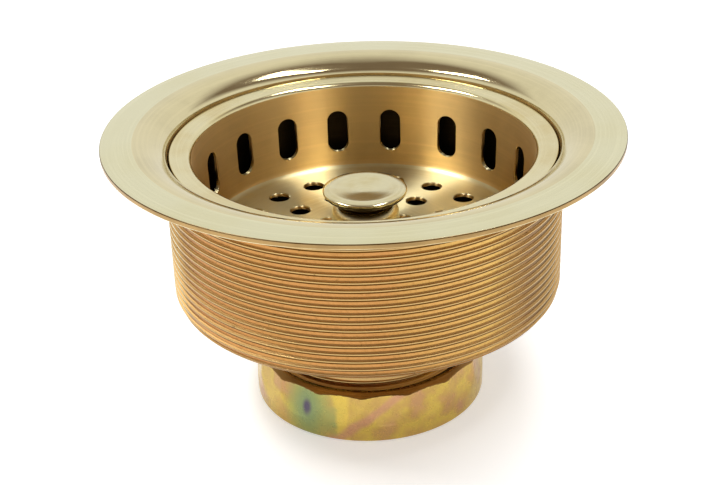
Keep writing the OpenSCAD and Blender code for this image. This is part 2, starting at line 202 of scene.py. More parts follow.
class Finish(bpy.types.PropertyGroup):
    """Colours of the finishes."""

    flange: colour("Flange brass", "Pale brushed brass of the flange", (0.68, 0.645, 0.42))
    edge: colour("Edge brass", "Sheared edge and underside of the flange", (0.42, 0.27, 0.11))
    mouth: colour("Mouth brass", "Polished brass of the mouth", (0.66, 0.58, 0.34))
    # Painted reflection: this pale brass paints the strips down the thread's side edges, and the painted highlight on
    # the flange's lower corner.
    crest: colour("Pale brass", "Pale brass down the thread's left side", (0.72, 0.65, 0.40))
    # Painted highlight: the thread's crests are painted in this paler brass, to draw a light line along each crest.
    worn: colour("Thread crest", "Rubbed brass on the thread's crests", (0.54, 0.36, 0.145))
    thread: colour("Thread brass", "Warm brass in the thread's grooves", (0.50, 0.245, 0.078))
    gold: colour("Thread gold", "Golden brass where the grooves are brighter", (0.68, 0.43, 0.13))
    # Painted reflection: the dark grooves painted just inside the thread's right edge.
    painted_dark_reflection: colour("Tarnish", "Dark grooves on one side", (0.13, 0.11, 0.06))
    # Painted shade: this colour paints the shade under each crest of the thread and the dark top corner of the flange's
    # edge; it also gives random dark specks.
    root: colour("Thread shade", "Dirt under each crest", (0.085, 0.033, 0.003))
    inside: colour("Inner brass", "Machined brass in the cup's upper half and under the basket", (0.42, 0.27, 0.09))
    cast: colour("Cast brass", "Dark cast brass in the cup's lower half", (0.035, 0.024, 0.012))
    basket: colour("Basket brass", "Pressed brass of the basket's rim and floor", (0.68, 0.61, 0.36))
    wall: colour("Wall brass", "Pressed brass of the basket's wall", (0.72, 0.48, 0.18))
    knob: colour("Knob brass", "Turned brass of the knob", (0.66, 0.60, 0.38))
    stem: colour("Stem brass", "Turned brass of the stem and plates", (0.62, 0.46, 0.21))
    zinc: colour("Zinc", "Yellow zinc plating of the nut", (0.50, 0.32, 0.10))
    zinc_pink: colour("Zinc pink", "Pink clouds in the plating", (0.50, 0.24, 0.17))
    zinc_green: colour("Zinc green", "Green clouds in the plating", (0.27, 0.32, 0.11))
    zinc_spot: colour("Zinc spot", "Dark spot in the plating", (0.10, 0.08, 0.13))
    rubber: colour("Rubber", "Black rubber of the stopper", (0.018, 0.017, 0.016))
    washer: colour("Washer", "Natural plastic of the washer", (0.72, 0.70, 0.62))
    steel: colour("Steel", "Bright steel of the balls and the spring", (0.62, 0.61, 0.60))


# Modelling steps


def clear_selection():
    """Leave nothing selected."""
    bpy.ops.object.select_all(action="DESELECT")


def only(piece):
    """Select one object and make it the active one."""
    clear_selection()
    piece.select_set(True)
    bpy.context.view_layer.objects.active = piece


def edit(piece, *steps):
    """Run edit mode steps on all of a piece."""
    only(piece)
    bpy.ops.object.mode_set(mode="EDIT")
    bpy.ops.mesh.select_all(action="SELECT")
    for step in steps:
        step()
    bpy.ops.object.mode_set(mode="OBJECT")
    return piece


def weld():
    """Merge points that lie on each other."""
    bpy.ops.mesh.remove_doubles(threshold=MERGE)


def face_out():
    """Point all faces outwards."""
    bpy.ops.mesh.select_all(action="SELECT")
    bpy.ops.mesh.normals_make_consistent(inside=False)


def trace(name, points):
    """Draw a line of edges through (radius, height) points, from one merged corner."""
    clear_selection()
    bpy.ops.mesh.primitive_plane_add(size=MM, location=(points[0][0], 0, points[0][1]))
    piece = bpy.context.object
    piece.name = piece.data.name = name
    bpy.ops.object.transform_apply(location=True)
    bpy.ops.object.mode_set(mode="EDIT")
    bpy.ops.mesh.merge(type="CENTER")
    for (x, z), (next_x, next_z) in zip(points, points[1:]):
        bpy.ops.mesh.extrude_region_move(
            TRANSFORM_OT_translate={"value": (next_x - x, 0, next_z - z), "orient_type": "GLOBAL"}
        )
    bpy.ops.object.mode_set(mode="OBJECT")
    return piece


def turn(name, points, facets=FACETS):
    """Trace an outline and spin it round the drain's axis."""
    piece = trace(name, points)
    edit(
        piece,
        lambda: bpy.ops.mesh.spin(steps=facets, angle=TAU, center=(0, 0, 0), axis=(0, 0, 1)),
        lambda: bpy.ops.mesh.select_all(action="SELECT"),
        weld,
        face_out,
    )
    return piece


def turned(piece, start):
    """Turn a piece about the drain's axis, in its mesh."""
    only(piece)
    piece.rotation_euler.z = start
    bpy.ops.object.transform_apply(rotation=True)
    return piece


def use(piece, kind, **settings):
    """Add a modifier, set it and apply it."""
    only(piece)
    bpy.ops.object.modifier_add(type=kind)
    modifier = piece.modifiers[-1]
    for key, value in settings.items():
        setattr(modifier, key, value)
    bpy.ops.object.modifier_apply(modifier=modifier.name)


def join(name, piece, *others):
    """Join pieces into one closed skin."""
    only(piece)
    for other in others:
        other.select_set(True)
    bpy.ops.object.join()
    piece.name = piece.data.name = name
    return edit(piece, weld, face_out)


def cut(piece, cutter):
    """Cut one object out of another and remove the cutter."""
    use(piece, "BOOLEAN", operation="DIFFERENCE", solver="EXACT", object=cutter)
    bpy.data.objects.remove(cutter)


def smooth(piece, degrees):
    """Shade a piece smooth, with edges sharper than an angle left sharp."""
    only(piece)
    bpy.ops.object.shade_smooth_by_angle(angle=math.radians(degrees))


def arc(x, depth, radius, start, end, steps=8):
    """Points of an arc about (x, depth), from start to end in degrees."""
    points = []
    for i in range(steps + 1):
        a = math.radians(start + (end - start) * i / steps)
        points.append((x + radius * math.cos(a), TOP - depth + radius * math.sin(a)))
    return points


def down(*points):
    """Turn (radius, depth) points into (radius, height) points."""
    return [(x, TOP - depth) for x, depth in points]


# Share of the pitch above a crest, and share of the depth, round one groove.
GROOVE = [
    (0, 0), (0.055, 0), (0.07, 0.05), (0.085, 0.15), (0.15, 0.82), (0.17, 0.93), (0.2, 1),
    (0.81, 1), (0.84, 0.95), (0.855, 0.86), (0.9, 0.14), (0.915, 0.04), (0.94, 0), (1, 0),
]


def thread(name, crest, low, pitch, turns, depth, start=0, facets=FACETS, outline=None):
    """A screwed groove between two plain rings, whose first and last turns run out to nothing.

    It starts at the height low, rises turns - 1 pitches, and follows outline(height) if given.
    """
    base = low - pitch
    piece = trace(name, [(crest - depth * d, base + pitch * s) for s, d in GROOVE])
    use(
        piece, "SCREW", axis="Z", angle=TAU, steps=facets, render_steps=facets,
        iterations=turns, screw_offset=pitch,
    )
    edit(piece, weld)
    groove = piece.data.attributes.new("groove", "FLOAT", "POINT")
    rise = piece.data.attributes.new("rise", "FLOAT", "POINT")
    for vertex in piece.data.vertices:
        x, y, z = vertex.co
        share = math.atan2(y, x) / TAU % 1
        share = 0 if share > 1 - 0.1 / facets else share
        climbed = (z - base) / pitch - share
        rise.data[vertex.index].value = climbed % 1
        width = 1
        if climbed < 1:
            z = low + pitch * max(climbed, 0) * share
            width = share
        elif climbed > turns - 1:
            last = min(climbed - turns + 1, 1)
            z = low + pitch * (turns - 2 + share + last * (1 - share))
            width = 1 - share
        cut_share = (crest - math.hypot(x, y)) / depth * min(1, 1.6 * width)
        radius = (outline(z) if outline else crest) - depth * cut_share
        size = math.hypot(x, y)
        vertex.co = (x / size * radius, y / size * radius, z)
        groove.data[vertex.index].value = cut_share
    edit(piece, weld)
    return turned(piece, start)


# Finishes


class Paint:
    """A material's nodes, made one after another."""

    def __init__(self, name, metallic=1.0):
        self.material = bpy.data.materials.new(name)
        self.material.use_nodes = True
        self.tree = self.material.node_tree
        self.shader = self.tree.nodes["Principled BSDF"]
        self.shader.inputs["Metallic"].default_value = metallic

    def add(self, kind, inputs=None, **settings):
        """Add a node, set what is a value and link what is a socket."""
        node = self.tree.nodes.new("ShaderNode" + kind)
        for key, value in settings.items():
            setattr(node, key, value)
        for key, value in (inputs or {}).items():
            if isinstance(value, bpy.types.NodeSocket):
                self.tree.links.new(value, node.inputs[key])
            else:
                node.inputs[key].default_value = value
        return node

    def math(self, operation, a, b=0.0, c=0.0):
        """One math node's output."""
        return self.add("Math", {0: a, 1: b, 2: c}, operation=operation).outputs[0]

    def scale(self, value, low, high, to_low=0.0, to_high=1.0):
        """A value moved smoothly from one range to another."""
        node = self.add(
            "MapRange",
            {"Value": value, "From Min": low, "From Max": high, "To Min": to_low, "To Max": to_high},
            interpolation_type="SMOOTHSTEP",
        )
        return node.outputs["Result"]

    def mix(self, factor, a, b, blend="MIX"):
        """Two colours mixed."""
        node = self.add("Mix", data_type="RGBA", blend_type=blend)
        for key, value in (("Factor_Float", factor), ("A_Color", a), ("B_Color", b)):
            socket = next(s for s in node.inputs if s.identifier == key)
            if isinstance(value, bpy.types.NodeSocket):
                self.tree.links.new(value, socket)
            elif key == "Factor_Float":
                socket.default_value = value
            else:
                socket.default_value = (*value[:3], 1)
        return next(s for s in node.outputs if s.identifier == "Result_Color")

    def ramp(self, value, stops):
        """Colours along a turn, at stops in degrees."""
        node = self.add("ValToRGB", {"Fac": value})
        elements = node.color_ramp.elements
        while len(elements) < len(stops):
            elements.new(0.5)
        for element, (position, tone) in zip(elements, stops):
            element.position = position / 360
            element.color = (*tone, 1)
        return node.outputs["Color"]

    def around(self, x, y, waver):
        """The share of a turn round the drain's axis, from +X."""
        turned_by = self.math("DIVIDE", self.math("ARCTAN2", y, x), TAU)
        return self.math("FRACT", self.math("ADD", self.math("ADD", turned_by, 1.0), waver))

    def noise(self, vector, scale, detail=3.0, roughness=0.5):
        """A noise value."""
        return self.add(
            "TexNoise", {"Vector": vector, "Scale": scale, "Detail": detail, "Roughness": roughness}
        ).outputs["Fac"]

    def place(self):
        """Object coordinates, and the distance from the drain's axis."""
        point = self.add("TexCoord").outputs["Object"]
        parts = self.add("SeparateXYZ", {0: point})
        flat = self.add("CombineXYZ", {0: parts.outputs[0], 1: parts.outputs[1]})
        radius = self.add("VectorMath", {0: flat.outputs[0]}, operation="LENGTH").outputs["Value"]
        return point, parts.outputs[0], parts.outputs[1], parts.outputs[2], radius

    def lathe_lines(self, x, y, z, radius, fine, along):
        """Noise drawn out round the axis, as a brush or a lathe tool leaves it."""
        across = self.math("MULTIPLY_ADD", radius, fine, self.math("MULTIPLY", z, fine * 0.83))
        vector = self.add(
            "CombineXYZ",
            {0: across, 1: self.math("MULTIPLY", x, along), 2: self.math("MULTIPLY", y, along)},
        ).outputs[0]
        return self.noise(vector, 1.0, 4.0, 0.6)

    def finish(self, base, roughness, height=None, bump=0.1, distance=0.05 * MM):
        """Link colour, roughness and bump to the shader."""
        for socket, value in (("Base Color", base), ("Roughness", roughness)):
            if isinstance(value, bpy.types.NodeSocket):
                self.tree.links.new(value, self.shader.inputs[socket])
            elif socket == "Base Color":
                self.shader.inputs[socket].default_value = (*value, 1)
            else:
                self.shader.inputs[socket].default_value = value
        if height is not None:
            normal = self.add("Bump", {"Height": height, "Strength": bump, "Distance": distance})
            self.tree.links.new(normal.outputs[0], self.shader.inputs["Normal"])
        return self.material


def lathed_brass(name, base, dull, rough=(0.2, 0.34), fine=9000.0, bump=0.12, cloud=90.0, aniso=0.0):
    """Brass brushed or turned round the axis, with faint clouds where it has dulled."""
    paint = Paint(name)
    point, x, y, z, radius = paint.place()
    lines = paint.lathe_lines(x, y, z, radius, fine, 30.0)
    broad = paint.lathe_lines(x, y, z, radius, fine / 6, 18.0)
    clouds = paint.noise(point, cloud, 4.0, 0.55)
    tone = paint.mix(paint.scale(clouds, 0.38, 0.72), base, dull)
    light = [min(1, c * 1.12) for c in base]
    tone = paint.mix(paint.scale(broad, 0.42, 0.7, 0.0, 0.45), tone, light)
    roughness = paint.scale(lines, 0.3, 0.7, *rough)
    height = paint.math("MULTIPLY_ADD", lines, 1.0, paint.math("MULTIPLY", broad, 0.6))
    if aniso:
        paint.shader.inputs["Anisotropic"].default_value = aniso
        paint.shader.inputs["Anisotropic Rotation"].default_value = 0.25
        tangent = paint.add("Tangent", direction_type="RADIAL", axis="Z")
        paint.tree.links.new(tangent.outputs[0], paint.shader.inputs["Tangent"])
    return paint.finish(tone, roughness, height, bump)


def thread_brass(look):
    """Cut brass: crests painted paler as a painted highlight, painted reflections round the thread, grooves that have
    darkened unevenly, painted shade under each crest and at the foot of each groove, flanks painted lighter, and dark
    specks.
    """
    paint = Paint("cut_thread_brass")
    point, x, y, z, radius = paint.place()
    groove = paint.add("Attribute", attribute_name="groove").outputs["Fac"]
    rise = paint.add("Attribute", attribute_name="rise").outputs["Fac"]
    lines = paint.lathe_lines(x, y, z, radius, 14000.0, 40.0)
    clouds = paint.noise(point, 70.0, 5.0, 0.6)
    grain = paint.noise(point, 1500.0, 3.0, 0.7)
    specks = paint.noise(point, 900.0, 2.0, 0.5)
    around = paint.around(x, y, paint.math("MULTIPLY_ADD", clouds, 0.02, -0.01))
    brown = [c * f for c, f in zip(look.thread, (0.6, 0.68, 0.85))]
    # Painted reflections round the thread: pale brass down both side edges and dark grooves just inside the right edge,
    # with golden and brown bands between.
    tone = paint.ramp(around, [
        (5, look.crest), (95, look.gold), (178, look.crest), (200, look.crest), (207, brown), (218, look.thread),
        (275, look.thread), (305, look.gold), (320, brown), (338, look.painted_dark_reflection), (348, look.painted_dark_reflection), (356, look.crest),
    ])
    # Painted shade: the lower part of each groove, just above the crest below it, is painted duller.
    tone = paint.mix(paint.scale(rise, 0.2, 0.34, 0.75, 0.0), tone, (0.6, 0.58, 0.5), "MULTIPLY")
    tone = paint.mix(paint.scale(clouds, 0.4, 0.75, 0.0, 0.6), tone, (0.86, 0.94, 0.8), "MULTIPLY")
    tone = paint.mix(paint.scale(grain, 0.45, 0.75, 0.0, 0.5), tone, (0.6, 0.5, 0.4), "MULTIPLY")
    # Mask of the pale strip down the left side, a painted reflection.
    pale = paint.math("MULTIPLY", paint.scale(around, 0.48, 0.5), paint.scale(around, 0.555, 0.575, 1.0, 0.0))
    # Painted shade: the top of each groove, just under the crest above it, is painted dark; it fades out on the pale
    # strip.
    shade = paint.math("MULTIPLY", paint.scale(rise, 0.58, 0.64), paint.math("MULTIPLY_ADD", pale, -0.9, 1.0))
    tone = paint.mix(shade, tone, look.root)
    # Crest colour: paler brass as a painted highlight along each crest, with the pale painted reflection on the left
    # strip.
    rubbed = paint.mix(pale, look.worn, look.crest)
    # Painted light: the steep flank above each crest is painted a lighter brass, and made rougher.
    flank = paint.math("MULTIPLY", paint.scale(rise, 0.07, 0.085), paint.scale(rise, 0.16, 0.2, 1.0, 0.0))
    tone = paint.mix(flank, tone, [c * 1.6 for c in look.worn])
    tone = paint.mix(paint.scale(groove, 0.02, 0.25), rubbed, tone)
    tone = paint.mix(paint.scale(specks, 0.7, 0.8, 0.0, 0.7), tone, [c * 0.6 for c in look.root])
    roughness = paint.math(
        "MULTIPLY_ADD", flank, 0.3, paint.scale(lines, 0.3, 0.7, 0.2, 0.32)
    )
    return paint.finish(tone, roughness, lines, 0.12)


def plated_zinc(look):
    """Yellow passivated zinc: olive and gold clouds, a pink streak, and one dark spot with a green halo."""
    paint = Paint("yellow_zinc")
    point, x, y, z, radius = paint.place()
    film = paint.noise(point, 78.0, 3.0, 0.5)
    fine = paint.noise(point, 420.0, 3.0, 0.6)
    lines = paint.lathe_lines(x, y, z, radius, 9000.0, 50.0)
    waver = paint.math("MULTIPLY_ADD", film, 0.05, -0.025)
    around = paint.around(x, y, waver)
    gold, pink, green, spot = look.zinc, look.zinc_pink, look.zinc_green, look.zinc_spot
    pale = [c * f for c, f in zip(gold, (1.15, 1.3, 0.9))]
    blush = [0.5 * (a + b) for a, b in zip(gold, pink)]
    tone = paint.ramp(paint.math("MULTIPLY_ADD", fine, 0.08, film), [
        (110, green), (160, gold), (200, pale), (225, gold), (250, blush), (280, gold), (310, green),
    ])
    yellow = paint.math(
        "MULTIPLY", paint.scale(around, 248 / 360, 251 / 360), paint.scale(around, 256 / 360, 259 / 360, 1.0, 0.0)
    )
    tone = paint.mix(paint.math("MULTIPLY", yellow, 0.75), tone, [c * f for c, f in zip(gold, (1.3, 1.5, 0.9))])
    height = paint.math("MULTIPLY", z, 1 / MM / 360 * 3.2)
    across = paint.math("ABSOLUTE", paint.math("SUBTRACT", paint.math("SUBTRACT", around, height), 249 / 360))
    tone = paint.mix(paint.scale(across, 0.004, 0.02, 0.7, 0.0), tone, pink)
    away = paint.add("Mapping", {
        "Vector": point, "Location": (14.4 * MM, 22.0 * MM, -7.0 * MM * 0.6), "Scale": (1.0, 1.0, 0.6),
    }).outputs[0]
    away = paint.add("VectorMath", {0: away}, operation="LENGTH").outputs["Value"]
    away = paint.math("MULTIPLY_ADD", waver, 30 * MM, away)
    teal = [c * f for c, f in zip(green, (0.6, 0.8, 1.3))]
    tone = paint.mix(paint.scale(away, 3.2 * MM, 8 * MM, 0.8, 0.0), tone, green)
    tone = paint.mix(paint.scale(away, 1.4 * MM, 4.6 * MM, 0.6, 0.0), tone, teal)
    tone = paint.mix(paint.scale(away, 0.5 * MM, 1.8 * MM, 0.95, 0.0), tone, spot)
    roughness = paint.scale(fine, 0.35, 0.7, 0.2, 0.34)
    return paint.finish(tone, roughness, paint.math("ADD", lines, fine), 0.08)


def plain_paint(name, base, rough, scale, bump, metallic=0.0, contrast=0.85):
    """A moulded or drawn finish with a fine grain."""
    paint = Paint(name, metallic)
    point = paint.place()[0]
    grain = paint.noise(point, scale, 4.0, 0.6)
    broad = paint.noise(point, scale / 12, 3.0, 0.5)
    tone = paint.mix(paint.scale(broad, 0.35, 0.7), base, [c * contrast for c in base])
    return paint.finish(tone, paint.scale(grain, 0.3, 0.7, rough * 0.85, rough * 1.15), grain, bump)


def put(piece, *materials):
    """Give a piece its finishes."""
    piece.data.materials.clear()
    for material in materials:
        piece.data.materials.append(material)


def paint_faces(piece, zone):
    """Give each face the finish that zone(centre, normal) numbers."""
    for face in piece.data.polygons:
        face.material_index = zone(face.center, face.normal)


def settle(piece, body, slot, *nodes):
    """Let a piece ride on its body in place of its CAD nodes."""
    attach(piece, body)
    if nodes:
        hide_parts(*nodes)


# Pieces


def body_lines(s):
    """Depths and radii that several outlines of the body share."""
    roll, slope, dish = s.mouth_roll, s.mouth_slope, s.dish
    wall_r = s.cup_r + s.neck_step - s.neck_wall
    bend_x = wall_r + s.mouth_bend * math.sin(slope)
    mouth_end = bend_x - s.mouth_bend * math.sin(roll)
    mouth_r = s.mouth_w / math.sin(roll)
    corner_x = s.cup_r - s.corner_r
    dish_x = corner_x + s.corner_r * math.sin(dish)
    dish_depth = s.corner_start + s.corner_r * math.cos(dish)

    def dish_out(radius):
        return dish_depth + (dish_x - radius) * math.tan(dish)

    seat_r = s.bore_r + s.seat_w
    return {
        "bend_x": bend_x,
        "bend_depth": mouth_r * (1 - math.cos(roll)) + s.mouth_bend * math.cos(roll),
        "mouth_x": mouth_end + s.mouth_w,
        "mouth_r": mouth_r,
        "thread_start": s.neck_end + s.thread_gap,
        "corner_x": corner_x,
        "dish_out": dish_out,
        "seat_r": seat_r,
        "seat": dish_out(seat_r) - s.cup_wall / math.cos(dish),
    }


class DRAIN_OT_body(bpy.types.Operator):
    """Turn the flange, mouth, cup and outlet, and screw both threads round them"""

    bl_idname = "drain.body"
    bl_label = "Strainer body"

    def execute(self, context):
        s = context.scene.drain_body
        look = context.scene.drain_finish
        k = body_lines(s)
        neck_r = s.cup_r + s.neck_step
        roll, slope, dish = (math.degrees(a) for a in (s.mouth_roll, s.mouth_slope, s.dish))
        edge_x = s.flange_r - s.flange_edge
        outlet_end = TOP - OUTLET_LOW.z
        cup_low = TOP - k["thread_start"] - s.pitch * (s.turns - 1)
        outlet_low = OUTLET_LOW.z + 0.8 * MM
        outlet_high = outlet_low + s.outlet_pitch * (s.outlet_turns - 1)

        def cup_outline(z):
            drop = TOP - z - s.corner_start
            return s.cup_r if drop < 0 else k["corner_x"] + math.sqrt(s.corner_r**2 - drop**2)

        low_drop = TOP - cup_low - s.corner_start
        low_angle = -math.degrees(math.asin(low_drop / s.corner_r))
        inside = (
            down((s.cup_r, k["thread_start"]), (s.cup_r - 0.35 * MM, k["thread_start"] - 0.25 * MM))
            + down((s.cup_r - 0.35 * MM, s.neck_end + 0.15 * MM), (neck_r - 0.1 * MM, s.neck_end))
            + down((neck_r, s.neck_end - 0.1 * MM))
            + arc(k["bend_x"], k["bend_depth"], k["bend_x"] - neck_r, 180, 90 + roll, 6)
            + arc(k["mouth_x"], k["mouth_r"], k["mouth_r"] - s.flange_t, 86 + roll, 90, 9)
            + arc(edge_x, s.flange_t - s.flange_edge, s.flange_edge, -90, 0, 4)
            + arc(edge_x, s.flange_edge, s.flange_edge, 0, 90, 4)
            + down((edge_x - 2 * MM, 0), (k["mouth_x"] + 2 * MM, 0))
            + arc(k["mouth_x"], k["mouth_r"], k["mouth_r"], 90, 90 + roll, 12)
            + arc(k["bend_x"], k["bend_depth"], s.mouth_bend, 90 + roll + 5, 90 + slope, 8)
            + down((s.cup_r - s.cup_wall + 0.15 * MM, k["thread_start"] + s.cup_wall - 0.7 * MM))
            + down((s.cup_r - s.cup_wall, k["thread_start"] + s.cup_wall))
            + arc(k["corner_x"], s.corner_start, s.corner_r - s.cup_wall, 0, dish - 90, 9)
            + down((k["seat_r"] + 0.3 * MM, k["seat"] - 0.12 * MM), (k["seat_r"] - 0.2 * MM, k["seat"]))
            + down((s.bore_r + 0.3 * MM, k["seat"]), (s.bore_r, k["seat"] + 0.3 * MM))
            + down((s.bore_r, outlet_end - 0.3 * MM), (s.bore_r + 0.3 * MM, outlet_end))
            + down((s.outlet_r - s.outlet_depth, outlet_end))
            + [(s.outlet_r, outlet_low)]
        )
        fillet = 1.2 * MM
        shoulder = k["dish_out"](s.outlet_r)
        outside = (
            [(s.outlet_r, outlet_high), (s.outlet_r, TOP - shoulder - fillet)]
            + down(
                (s.outlet_r + 0.12 * fillet, k["dish_out"](s.outlet_r + 0.5 * fillet) + 0.52 * fillet),
                (s.outlet_r + 0.45 * fillet, k["dish_out"](s.outlet_r + 0.45 * fillet) + 0.16 * fillet),
                (s.outlet_r + 1.1 * fillet, k["dish_out"](s.outlet_r + 1.1 * fillet)),
            )
            + arc(k["corner_x"], s.corner_start, s.corner_r, dish - 90, low_angle, 8)
        )
        piece = join(
            "drain_body",
            turn("drain_body", inside),
            turn("dish", outside),
            thread(
                "cup_thread", s.cup_r, cup_low, s.pitch, s.turns, s.thread_depth, s.thread_turn,
                outline=cup_outline,
            ),
            thread("outlet_thread", s.outlet_r, outlet_low, s.outlet_pitch, s.outlet_turns, s.outlet_depth),
        )
        smooth(piece, 30)
        dull = [c * f for c, f in zip(look.flange, (0.97, 0.95, 0.88))]
        put(
            piece,
            lathed_brass("brushed_flange", look.flange, dull, (0.17, 0.22), 9000.0, 0.035, 45.0),
            lathed_brass("polished_mouth", look.mouth, [c * 0.9 for c in look.mouth], (0.08, 0.15), 9000.0, 0.05),
            thread_brass(look),
            lathed_brass("dull_cup", look.inside, [c * 0.7 for c in look.inside], (0.45, 0.6), 5000.0, 0.18),
            lathed_brass("sheared_edge", look.edge, [c * 0.7 for c in look.edge], (0.25, 0.4), 6000.0, 0.2),
            lathed_brass("cast_cup", look.cast, [c * 0.6 for c in look.cast], (0.5, 0.65), 4000.0, 0.3),
            # Painted reflection: the top corner of the flange's edge is painted dark.
            lathed_brass("painted_dark_top_edge", [c * 0.35 for c in look.edge], look.root, (0.3, 0.45), 6000.0, 0.1),
            # Painted highlight: the lower corner of the flange's edge is painted pale brass, for the light line it
            # shows.
            lathed_brass("painted_highlight_corner", look.crest, look.worn, (0.15, 0.25), 9000.0, 0.05),
        )
        rim_top = TOP - RIM_HIGH.z

        def zone(centre, normal):
            radius = math.hypot(centre.x, centre.y)
            depth = TOP - centre.z
            outward = normal.x * centre.x + normal.y * centre.y > 0
            if depth > k["thread_start"] and outward:
                return 2
            if radius > k["mouth_x"]:
                if normal.z > 0.97:
                    return 0
                if radius < s.flange_r - MM or abs(normal.z) < 0.15:
                    return 4
                # The top corner of the flange's edge takes the painted dark reflection, its lower corner the painted
                # highlight.
                return 6 if normal.z > 0 else 7
            if outward or normal.z < -0.3:
                return 4
            if depth < rim_top + MM:
                return 1
            return 3 if depth < s.machined else 5

        paint_faces(piece, zone)
        settle(piece, "drain", "body_brass", "strainer_body")
        return {"FINISHED"}


class DRAIN_OT_web(bpy.types.Operator):
    """Turn the hub and cross it with bars that reach into the outlet's wall"""

    bl_idname = "drain.web"
    bl_label = "Cross web"

    def execute(self, context):
        s = context.scene.drain_body
        look = context.scene.drain_finish
        k = body_lines(s)
        top = k["seat"] + s.web_drop
        low = top + s.web_h
        edge = 0.4 * MM
        hub = turn(
            "cross_web",
            down(
                (s.hub_bore, low - edge), (s.hub_bore, top + edge), (s.hub_bore + edge, top),
                (s.hub_r - edge, top), (s.hub_r, top + edge), (s.hub_r, low - edge),
                (s.hub_r - edge, low), (s.hub_bore + edge, low), (s.hub_bore, low - edge),
            ),
            96,
        )
        reach = s.bore_r + 0.6 * MM - s.hub_r + MM
        clear_selection()
        bpy.ops.mesh.primitive_cube_add(size=MM, location=(s.hub_r - MM + reach / 2, 0, TOP - top - s.web_h / 2))
        bars = context.object
        middle = Vector(bars.location)
        bpy.ops.object.transform_apply(location=True)
        edit(
            bars,
            lambda: bpy.ops.transform.resize(
                value=(reach / MM, s.bar_w / MM, s.web_h / MM), center_override=middle
            ),
            lambda: bpy.ops.mesh.bevel(offset=edge, segments=3, affect="EDGES"),
            lambda: bpy.ops.mesh.select_all(action="SELECT"),
            lambda: bpy.ops.mesh.spin(steps=3, angle=TAU * 0.75, dupli=True, center=(0, 0, 0), axis=(0, 0, 1)),
        )
        bars.rotation_euler.z = TAU / 8
        clear_selection()
        only(bars)
        bpy.ops.object.transform_apply(rotation=True)
        use(hub, "BOOLEAN", operation="UNION", solver="EXACT", object=bars)
        bpy.data.objects.remove(bars)
        edit(hub, weld, face_out)
        smooth(hub, 35)
        put(hub, lathed_brass("cast_web", look.mouth, [c * 0.75 for c in look.mouth], (0.3, 0.45), 2500.0, 0.3))
        settle(hub, "drain", "body_brass", "strainer_body")
        return {"FINISHED"}


def soft_min(a, b, width):
    """The smaller of two lengths, rounded where they cross."""
    if width <= 0:
        return min(a, b)
    h = max(width - abs(a - b), 0) / width
    return min(a, b) - h * h * width / 4


class DRAIN_OT_nut(bpy.types.Operator):
    """Turn the coupling nut, press its flats in and screw its thread"""

    bl_idname = "drain.nut"
    bl_label = "Coupling nut"

    def execute(self, context):
        s = context.scene.drain_nut
        pitch = context.scene.drain_body.outlet_pitch
        chamfer = 1.6 * MM * math.tan(s.chamfer)
        rows = 56
        low = s.foot_r
        high = s.height - 0.2 * MM - chamfer
        edge = 0.3 * MM
        thread_low = s.lip + 1.8 * MM
        thread_high = thread_low + 3 * pitch
        band = [(s.radius, low + (high - low) * i / rows) for i in range(1, rows)]
        slope = [
            (s.radius - 1.6 * MM * i / 10, high + chamfer * i / 10) for i in range(0, 10)
        ]
        foot = [
            (s.radius - s.foot_r + s.foot_r * math.sin(a), s.foot_r - s.foot_r * math.cos(a))
            for a in (math.pi / 2 * i / 10 for i in range(11))
        ]
        outline = (
            [(s.bore_r, thread_low), (s.bore_r, s.lip), (s.hole_r + edge * 0.5, s.lip), (s.hole_r, s.lip - edge * 0.5)]
            + [(s.hole_r, edge), (s.hole_r + edge, 0)]
            + foot + band + slope
            + [(s.radius - 1.75 * MM, s.height - 0.06 * MM), (s.radius - 1.95 * MM, s.height)]
            + [(s.bore_r + 0.55 * MM, s.height), (s.bore_r + 0.1 * MM, s.height - 0.25 * MM), (s.bore_r, thread_high)]
        )
        period = TAU / s.flats
        start = s.turn - period * s.wide / 2
        piece = turned(turn("nut_ring", outline, NUT_FACETS), start)
        flats = []
        for i in range(s.flats):
            flats.append((s.turn + i * period, period * s.wide / 2))
            flats.append((s.turn + (i + 0.5) * period, period * (1 - s.wide) / 2))
        for vertex in piece.data.vertices:
            x, y, z = vertex.co
            radius = math.hypot(x, y)
            if z < s.band - 0.3 * MM or radius < s.bore_r + 0.8 * MM:
                continue
            wall = radius
            for middle, half in flats:
                reach = s.radius * math.cos(half)
                reach += s.runout * (s.radius - reach) + (s.band - z) * math.tan(s.lean)
                off = (math.atan2(y, x) - middle + math.pi) % TAU - math.pi
                if abs(off) < half + 0.1:
                    flat = reach / math.cos(off)
                    if z < s.band:
                        flat = s.radius + (s.band - z)
                    wall = soft_min(wall, flat, s.edge)
            vertex.co = (x / radius * wall, y / radius * wall, z)
        inner = thread("nut_thread", s.bore_r, thread_low, pitch, 4, -0.62 * MM, start, NUT_FACETS)
        piece = join("threaded_nut", piece, inner)
        smooth(piece, 22)
        look = context.scene.drain_finish
        worn = [c * f for c, f in zip(look.zinc, (0.55, 0.45, 0.42))]
        put(
            piece, plated_zinc(look),
            lathed_brass("nut_chamfer", worn, [c * 0.6 for c in worn], (0.25, 0.4), 7000.0, 0.15),
        )
        paint_faces(piece, lambda centre, normal: 1 if 0.3 < normal.z < 0.97 and centre.z > s.height / 2 else 0)
        settle(piece, "nut", "plated_steel", "coupling_nut")
        return {"FINISHED"}


def cosine(i, steps):
    """A smooth step from 0 to 1."""
    return (1 - math.cos(math.pi * i / steps)) / 2


def repeat(piece, count, start, step):
    """Copy a cutter round the drain's axis and turn the first copy to its place."""
    edit(
        piece,
        lambda: bpy.ops.mesh.spin(
            steps=count - 1, angle=-step * (count - 1), dupli=True, center=(0, 0, 0), axis=(0, 0, 1)
        ),
    )
    return turned(piece, start)


